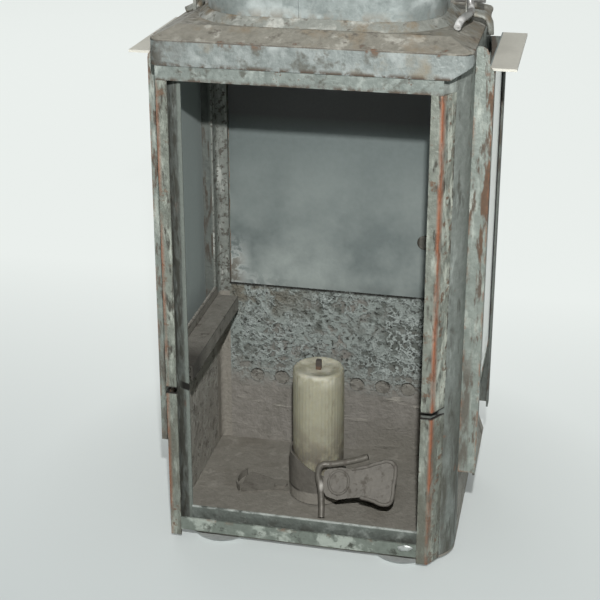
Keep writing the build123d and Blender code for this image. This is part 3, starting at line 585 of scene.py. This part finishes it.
leaf_outline = [(-6.8, -3.5), (-6.8, 3.5), (-5.0, 6.0), (-1.0, 6.6), (5.0, 6.2), (10.0, 7.6), (16.0, 10.0),
                (20.5, 11.2), (23.0, 10.0), (23.8, 7.0), (23.6, 1.0), (23.6, -3.6), (22.6, -6.4),
                (20.0, -7.2), (15.0, -6.0), (10.0, -5.2), (5.0, -6.2), (0.0, -7.4), (-4.6, -6.4)]
faces = [[on_leaf(u, v, w) for u, v in leaf_outline] for w in (leaf_thick / 2, -leaf_thick / 2)]
# Filmed leaf: as the floor, toned down because the plate is tilted to the light
leaf_film = weathered("filmed_thumb_leaf", ("#65625b", "#77736b"), 8, [
    (("#57534c", "#615c54"), [("spots", 3, 0.54, 0.66)], -0.1),
], 0.1, 0.65, 0.5)
fix(shell("thumb_leaf", faces, smooth=False), leaf_film)
rim_d, rim_out, ring_d, ring_out = 1.7, 0.3, 1.2, 0.4
rim_points = [on_leaf(u, v, rim_out) for u, v in leaf_outline[4:16]]
fix(wire("thumb_leaf_rim", rim_points, rim_d), leaf_film)
ring_half_w, ring_half_h, ring_turns = 4.3, 5.0, 12
ring_angles = [2 * math.pi * t / ring_turns for t in range(ring_turns + 1)]
ring_points = [on_leaf(ring_half_w * math.cos(t), ring_half_h * math.sin(t), ring_out) for t in ring_angles]
fix(wire("thumb_leaf_ring", ring_points, ring_d), leaf_film)

# Candle: a pressed tallow column with shallow flutes and a softened rim, seated loose in the socket.
# Dust and soot have greyed it, most of all low down.
candle_low, candle_high = [corner * 1000 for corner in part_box("candle")]
candle_middle = (candle_low + candle_high) / 2
candle_r = (candle_high.x - candle_low.x) / 2
flutes, flute_deep, waver_deep, steps = 44, 0.12, 0.12, 264
top = candle_high.z
profile = [(0.97, candle_low.z, 0.0), (1.0, candle_low.z + 1.2, 1.0), (0.995, 30.0, 1.0), (1.0, 45.0, 1.0),
           (0.995, top - 6.0, 1.0), (0.99, top - 1.8, 1.0), (0.975, top - 0.9, 0.9),
           (0.94, top - 0.3, 0.6), (0.89, top - 0.05, 0.3), (0.83, top, 0.0), (0.76, top - 0.12, 0.0),
           (0.70, top - 0.45, 0.0), (0.45, top - 0.7, 0.0), (0.22, top - 0.9, 0.0), (0.05, top - 1.0, 0.0)]
rings = []
for share, z, fluted in profile:
    ring = []
    for k in range(steps):
        angle = 2 * math.pi * k / steps
        dent = fluted * flute_deep * (0.5 - 0.5 * math.cos(flutes * angle))
        waver = waver_deep * (1 + math.sin(3 * angle + z / 9)) * min(fluted, 0.6)
        r = candle_r * share - dent - waver
        ring.append((candle_middle.x + r * math.cos(angle), candle_middle.y + r * math.sin(angle), z))
    rings.append(ring)
candle = shell("fluted_candle", rings)
# Tallow: pale yellow grey, a little light passes into it
tallow = weathered("greyed_tallow", ("#95927d", "#a5a28e"), 10, [
    (("#bebba8", "#c6c3b2"), [("z", 58.0, 64.0), ("spots", 6, 0.4, 0.6)], 0.0),
    (("#756f63", "#686256"), [("z", 46.0, 24.0), ("spots", 7, 0.34, 0.56)], 0.05),
    (("#88836f", "#7f7a66"), [("runs", 3, 0.58, 0.72)], -0.05),
], 0.0, 0.55, 0.15)
wax = tallow.node_tree.nodes["Principled BSDF"]
wax.inputs["Subsurface Weight"].default_value = 0.25
wax.inputs["Subsurface Radius"].default_value = (0.004, 0.003, 0.0015)
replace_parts(fix(candle, tallow, "candle"), "candle")

# Wick: a square braided cotton stub, charred dark with a brown foot.
# It was pressed into the candle with the tallow.
# Charred cotton: dark brown grey and dull
charred_wick = weathered("charred_cotton_wick", ("#443f3a", "#59524b"), 1.5, [
    (("#6a5645", "#574537"), [("z", 65.6, 64.8)], 0.0),
], 0.0, 0.9, 0.6)
dress(charred_wick, "wick")

# Floor and backdrop: one pale cloth that sweeps up behind the lantern.
# Its front is painted greyer as the shade of light falling off there; it glows a little to the eye and
# keeps the lantern's shadow.
grey_until, pale_from, front_glow, back_glow = -0.16, 0.24, 0.66, 0.9
shadow_until, clear_from, shadow_glow = 0.06, 0.14, 0.3
# Pale cloth: dull and even, painted greyer towards the viewer as shade where the light falls off, and dark
# close to the feet
pale = bpy.data.materials.new("pale_backdrop_cloth")
pale.use_nodes = True
tree = pale.node_tree
tree.nodes.clear()
place = put(tree, "ShaderNodeTexCoord").outputs["Object"]
depth = put(tree, "ShaderNodeSeparateXYZ", {"Vector": place}).outputs[1]
paler = put(tree, "ShaderNodeMapRange", {
    "Value": depth, "From Min": grey_until, "From Max": pale_from}).outputs[0]
cloth_colour = put(tree, "ShaderNodeMix", {
    0: paler, 6: linear("#c4cbca"), 7: linear("#eff4f1")}, data_type="RGBA").outputs[2]
cloth_glow = put(tree, "ShaderNodeMapRange", {
    "Value": paler, "To Min": front_glow, "To Max": back_glow}).outputs[0]
ray = put(tree, "ShaderNodeLightPath").outputs
seen = put(tree, "ShaderNodeMath", {
    0: ray["Is Camera Ray"], 1: ray["Is Glossy Ray"]}, operation="MAXIMUM").outputs[0]
seen = put(tree, "ShaderNodeMath", {
    0: seen, 1: ray["Is Transmission Ray"]}, operation="MAXIMUM").outputs[0]
away = put(tree, "ShaderNodeVectorMath", {0: place}, operation="LENGTH").outputs["Value"]
away = put(tree, "ShaderNodeMapRange", {
    "Value": away, "From Min": shadow_until, "From Max": clear_from, "To Min": shadow_glow}).outputs[0]
share = put(tree, "ShaderNodeMath", {0: seen, 1: cloth_glow}, operation="MULTIPLY").outputs[0]
share = put(tree, "ShaderNodeMath", {0: share, 1: away}, operation="MULTIPLY").outputs[0]
lit = put(tree, "ShaderNodeBsdfPrincipled", {"Base Color": cloth_colour, "Roughness": 0.9}).outputs[0]
glow = put(tree, "ShaderNodeEmission", {"Color": cloth_colour, "Strength": 1.0}).outputs[0]
both = put(tree, "ShaderNodeMixShader", {0: share, 1: lit, 2: glow}).outputs[0]
put(tree, "ShaderNodeOutputMaterial", {"Surface": both})
half_wide = 4.0
sweep = [(-4.0, 0.0), (1.2, 0.0), (1.4, 0.03), (1.55, 0.12), (1.64, 0.3), (1.68, 2.2)]
corners = [(x, y, z) for y, z in sweep for x in (-half_wide, half_wide)]
cloth = bpy.data.meshes.new("backdrop")
cloth.from_pydata(corners, [], [(2 * i, 2 * i + 1, 2 * i + 3, 2 * i + 2) for i in range(len(sweep) - 1)])
cloth.materials.append(pale)
cloth.polygons.foreach_set("use_smooth", [True] * len(cloth.polygons))
backdrop = bpy.data.objects.new("backdrop", cloth)
bpy.context.collection.objects.link(backdrop)

# Light: one small lamp above the viewpoint, which throws the roof's shadow inside.
# A broad weak lamp behind and an even surround open up the far sides.
def lamp(name, place, size, watts):
    # A square lamp that faces the middle of the lantern
    middle = Vector((0, 0, 0.11))
    light = bpy.data.lights.new(name, "AREA")
    light.size = size
    light.energy = watts
    head = bpy.data.objects.new(name, light)
    head.location = place
    head.rotation_euler = (middle - head.location).to_track_quat("-Z", "Y").to_euler()
    bpy.context.collection.objects.link(head)


lamp("key", place=(0.111, -0.5305, 0.44), size=0.012, watts=3.9)
lamp("fill", place=(-0.5, 0.8, 0.6), size=0.6, watts=2.0)
world = bpy.data.worlds.new("surround")
bpy.context.scene.world = world
world.use_nodes = True
surround = world.node_tree.nodes["Background"].inputs
surround["Color"].default_value = linear("#eef0ee")
surround["Strength"].default_value = 0.2

# Camera: in front, above and to the right, as the photograph was taken.
# The middle of the picture lies below the axis of the lens, so the lens is shifted.
picture_px, lens_px, centre_y, sensor_mm = 600, 1377.8, 211.4, 36.0
heading, dip = math.radians(12.32), math.radians(19.95)
stand = (0.10167, -0.52691, 0.3285)
level = Vector((-math.sin(heading), math.cos(heading), 0))
ahead = level * math.cos(dip) - Vector((0, 0, 1)) * math.sin(dip)
up = level * math.sin(dip) + Vector((0, 0, 1)) * math.cos(dip)
across = ahead.cross(up)
eye = bpy.data.cameras.new("camera")
eye.sensor_width = sensor_mm
eye.lens = sensor_mm * lens_px / picture_px
eye.shift_y = (centre_y - picture_px / 2) / picture_px
camera = bpy.data.objects.new("camera", eye)
turn = Matrix((across, up, -ahead)).transposed().to_4x4()
camera.matrix_world = Matrix.Translation(stand) @ turn
bpy.context.collection.objects.link(camera)
bpy.context.scene.camera = camera
bpy.context.scene.view_settings.view_transform = "Standard"
